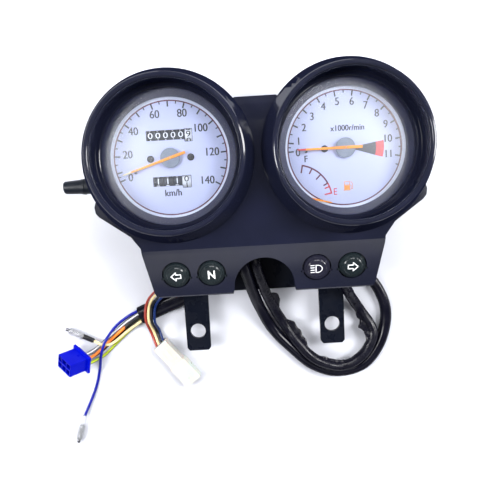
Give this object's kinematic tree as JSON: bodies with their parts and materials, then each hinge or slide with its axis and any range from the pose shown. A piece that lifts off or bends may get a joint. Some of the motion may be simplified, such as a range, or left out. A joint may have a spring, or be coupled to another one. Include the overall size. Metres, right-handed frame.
{
  "type": "motorcycle instrument cluster",
  "caption": "Twin-dial motorcycle instrument cluster with hooded speedometer and tachometer, tell-tale lamp panel, steel bracket and wiring.",
  "frame": {"origin": "midway between the two holes of the mounting bracket, on the bracket's back face", "axes": "+Z the way the dials face, +X towards the tachometer, +Y towards the top of the dials"},
  "size_m": [0.2735, 0.2757, 0.082],
  "materials": {
    "cover_black": "fine grain, satin",
    "case_black": "moulded, satin",
    "lens_clear": "clear, polished",
    "rubber_black": "matt",
    "surround_grey": "satin",
    "dial_pale": "printed, matt",
    "screw_black": "black oxide",
    "alloy": "as cast",
    "plated_steel": "zinc plated",
    "brass": "bright",
    "steel": "ground",
    "needle_orange": "painted",
    "drum_black": "printed white figures",
    "drum_white": "printed black figures",
    "board_green": "lacquered board",
    "cap_smoke": "smoked, glossy",
    "bulb_clear": "clear",
    "bracket_black": "semi-gloss black",
    "loom_vinyl": "glossy vinyl tube",
    "loom_tape": "vinyl tape wrap",
    "wire_blue": "satin",
    "wire_yellow": "satin",
    "wire_orange": "satin",
    "wire_brown": "satin",
    "plug_blue": "satin",
    "plug_white": "satin",
    "terminal_clear": "clear sleeve on a plated terminal"
  },
  "bodies": {
    "cluster": {"front_cover": "cover_black", "rear_case": "case_black", "speedo_lens": "lens_clear", "tacho_lens": "lens_clear", "lens_seals": "rubber_black", "speedo_surround": "surround_grey", "tacho_surround": "surround_grey", "speedo_dial": "dial_pale", "tacho_dial": "dial_pale", "dial_screws": "screw_black", "stop_pins": "screw_black", "speedo_frame": "alloy", "cable_boss": "plated_steel", "shaft_bush": "brass", "hairspring": "brass", "meter_axles": "steel", "reset_bush": "case_black", "tacho_movement": "alloy", "tacho_board": "board_green", "fuel_movement": "alloy", "left_turn_cap": "cap_smoke", "neutral_cap": "cap_smoke", "high_beam_cap": "cap_smoke", "right_turn_cap": "cap_smoke", "bulb_sockets": "rubber_black", "bulbs": "bulb_clear", "bracket": "bracket_black", "case_studs": "plated_steel", "dampers": "rubber_black", "bracket_nuts": "plated_steel", "case_screws": "plated_steel", "main_loom": "loom_vinyl", "branch_loom": "loom_tape", "loom_sleeve": "loom_vinyl", "blue_wire": "wire_blue", "bullet_wire": "wire_yellow", "six_way_wires": "wire_orange", "white_plug_wires": "wire_brown", "six_way_plug": "plug_blue", "white_plug": "plug_white", "wire_terminals": "terminal_clear"},
    "speed_pointer": {"speedo_needle": "needle_orange", "speed_cup": "alloy"},
    "tacho_pointer": {"tacho_needle": "needle_orange", "tacho_rotor": "steel"},
    "fuel_pointer": {"fuel_needle": "needle_orange"},
    "input": {"magnet_shaft": "steel"},
    "cross": {"cross_shaft": "steel"},
    "reset": {"reset_shaft": "steel", "reset_knob": "rubber_black"},
    "odo_1": {"odo_drum_1": "drum_black"},
    "odo_2": {"odo_drum_2": "drum_black"},
    "odo_3": {"odo_drum_3": "drum_black"},
    "odo_4": {"odo_drum_4": "drum_black"},
    "odo_5": {"odo_drum_5": "drum_black"},
    "odo_6": {"odo_drum_6": "drum_white"},
    "trip_1": {"trip_drum_1": "drum_black"},
    "trip_2": {"trip_drum_2": "drum_black"},
    "trip_3": {"trip_drum_3": "drum_black"},
    "trip_4": {"trip_drum_4": "drum_white"}
  },
  "joints": [
    {"name": "speed_pointer_turn", "type": "hinge", "parent": "cluster", "child": "speed_pointer", "pos_m": [-0.057, 0.129, 0.0465], "axis": [0, 0, -1], "range_deg": [0, 232], "stiffness_Nm_per_rad": 0.00002},
    {"name": "tacho_pointer_turn", "type": "hinge", "parent": "cluster", "child": "tacho_pointer", "pos_m": [0.057, 0.129, 0.0465], "axis": [0, 0, -1], "range_deg": [0, 202], "stiffness_Nm_per_rad": 0.00002},
    {"name": "fuel_pointer_turn", "type": "hinge", "parent": "cluster", "child": "fuel_pointer", "pos_m": [0.0285, 0.0985, 0.044], "axis": [0, 0, 1], "range_deg": [0, 104], "stiffness_Nm_per_rad": 0.000004},
    {"name": "input_spin", "type": "hinge", "parent": "cluster", "child": "input", "pos_m": [-0.057, 0.129, 0.005], "axis": [0, 0, -1], "continuous": true},
    {"name": "cross_spin", "type": "hinge", "parent": "cluster", "child": "cross", "pos_m": [-0.057, 0.136, 0.0172], "axis": [1, 0, 0], "continuous": true},
    {"name": "odo_6_spin", "type": "hinge", "parent": "cluster", "child": "odo_6", "pos_m": [-0.0445, 0.1438, 0.035], "axis": [1, 0, 0], "continuous": true},
    {"name": "odo_5_spin", "type": "hinge", "parent": "cluster", "child": "odo_5", "pos_m": [-0.0495, 0.1438, 0.035], "axis": [1, 0, 0], "continuous": true},
    {"name": "odo_4_spin", "type": "hinge", "parent": "cluster", "child": "odo_4", "pos_m": [-0.0545, 0.1438, 0.035], "axis": [1, 0, 0], "continuous": true},
    {"name": "odo_3_spin", "type": "hinge", "parent": "cluster", "child": "odo_3", "pos_m": [-0.0595, 0.1438, 0.035], "axis": [1, 0, 0], "continuous": true},
    {"name": "odo_2_spin", "type": "hinge", "parent": "cluster", "child": "odo_2", "pos_m": [-0.0645, 0.1438, 0.035], "axis": [1, 0, 0], "continuous": true},
    {"name": "odo_1_spin", "type": "hinge", "parent": "cluster", "child": "odo_1", "pos_m": [-0.0695, 0.1438, 0.035], "axis": [1, 0, 0], "continuous": true},
    {"name": "trip_4_spin", "type": "hinge", "parent": "cluster", "child": "trip_4", "pos_m": [-0.04763, 0.114, 0.035], "axis": [1, 0, 0], "continuous": true},
    {"name": "trip_3_spin", "type": "hinge", "parent": "cluster", "child": "trip_3", "pos_m": [-0.05387, 0.114, 0.035], "axis": [1, 0, 0], "continuous": true},
    {"name": "trip_2_spin", "type": "hinge", "parent": "cluster", "child": "trip_2", "pos_m": [-0.06012, 0.114, 0.035], "axis": [1, 0, 0], "continuous": true},
    {"name": "trip_1_spin", "type": "hinge", "parent": "cluster", "child": "trip_1", "pos_m": [-0.06638, 0.114, 0.035], "axis": [1, 0, 0], "continuous": true},
    {"name": "reset_turn", "type": "hinge", "parent": "cluster", "child": "reset", "pos_m": [-0.12, 0.114, 0.035], "axis": [1, 0, 0], "continuous": true}
  ],
  "couplings": [
    {"joint": "cross_spin", "follows": "input_spin", "ratio": 0.05},
    {"joint": "odo_6_spin", "follows": "input_spin", "ratio": -0.00071429},
    {"joint": "odo_5_spin", "follows": "input_spin", "ratio": -0.000071429},
    {"joint": "odo_4_spin", "follows": "input_spin", "ratio": -0.0000071429},
    {"joint": "odo_3_spin", "follows": "input_spin", "ratio": -0.00000071429},
    {"joint": "odo_2_spin", "follows": "input_spin", "ratio": -0.000000071429},
    {"joint": "odo_1_spin", "follows": "input_spin", "ratio": -0.0000000071429},
    {"joint": "trip_4_spin", "follows": "input_spin", "ratio": -0.00071429},
    {"joint": "trip_3_spin", "follows": "input_spin", "ratio": -0.000071429},
    {"joint": "trip_2_spin", "follows": "input_spin", "ratio": -0.0000071429},
    {"joint": "trip_1_spin", "follows": "input_spin", "ratio": -0.00000071429}
  ]
}
